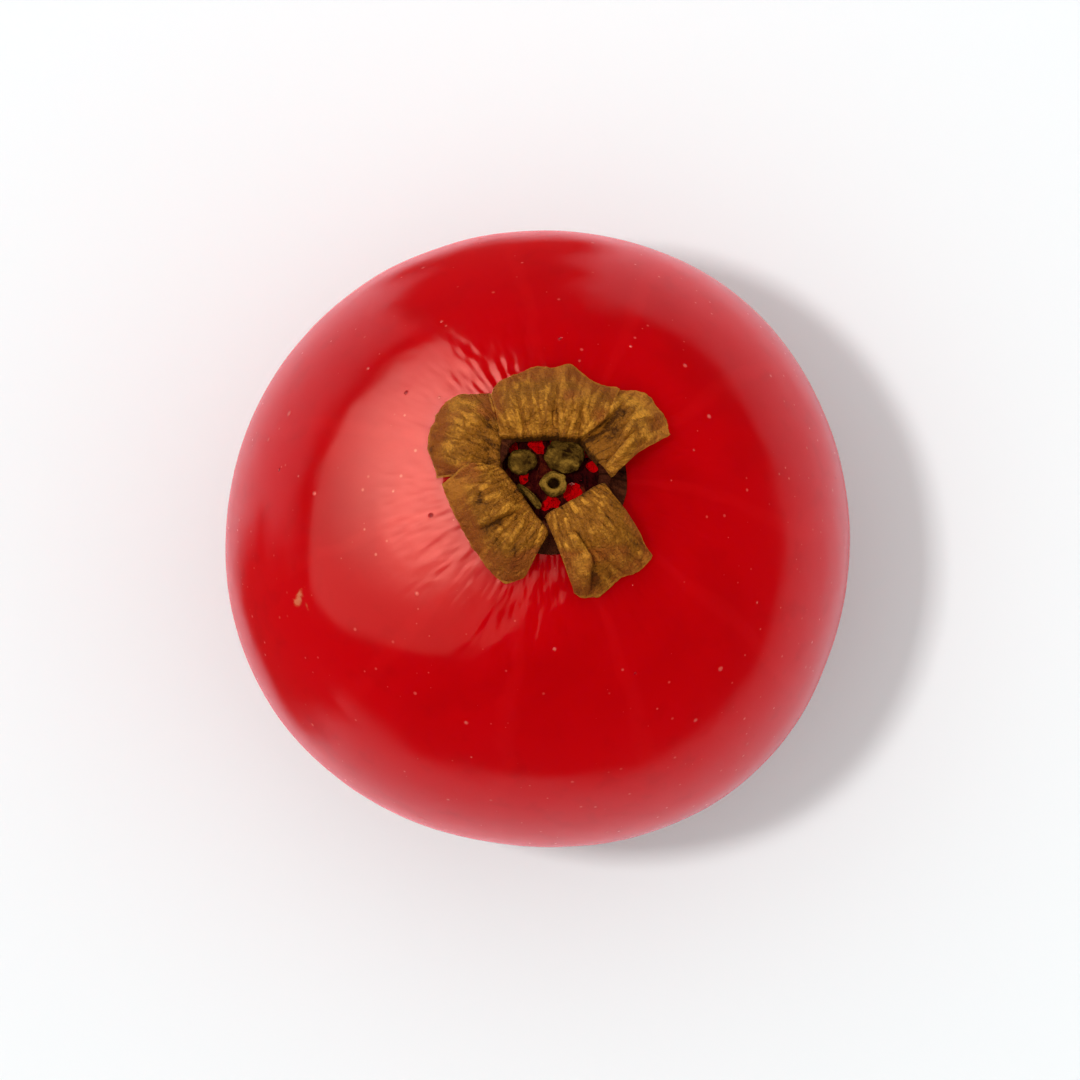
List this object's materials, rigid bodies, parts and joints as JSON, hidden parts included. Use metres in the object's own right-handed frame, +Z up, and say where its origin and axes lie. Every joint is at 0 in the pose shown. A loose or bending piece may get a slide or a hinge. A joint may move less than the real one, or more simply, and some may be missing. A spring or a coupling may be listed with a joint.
{
  "type": "red currant",
  "caption": "Ripe red currant berry resting on a small flat spot, with its withered sepals and dried flower cup on top.",
  "frame": {"origin": "middle of the small flat spot that the berry rests on", "axes": "+Z up, away from the surface; the berry's own axis, through its flower end, leans 12 degrees from +Z towards +Y"},
  "size_m": [0.0099, 0.0098, 0.0103],
  "materials": {
    "skin": "smooth glossy berry skin, slightly translucent",
    "dry_sepal": "withered, papery and creased",
    "dark_cup": "dried dark brown",
    "flower_remains": "dried olive brown, wrinkled",
    "stalk": "torn green wood, dried"
  },
  "bodies": {
    "root": {"berry": "skin", "calyx_cup": "dark_cup", "sepal_1": "dry_sepal", "sepal_2": "dry_sepal", "sepal_3": "dry_sepal", "sepal_4": "dry_sepal", "sepal_5": "dry_sepal", "style_stump": "flower_remains", "anther_1": "flower_remains", "anther_2": "flower_remains", "filament_1": "flower_remains", "stalk_stub": "stalk"}
  },
  "joints": []
}
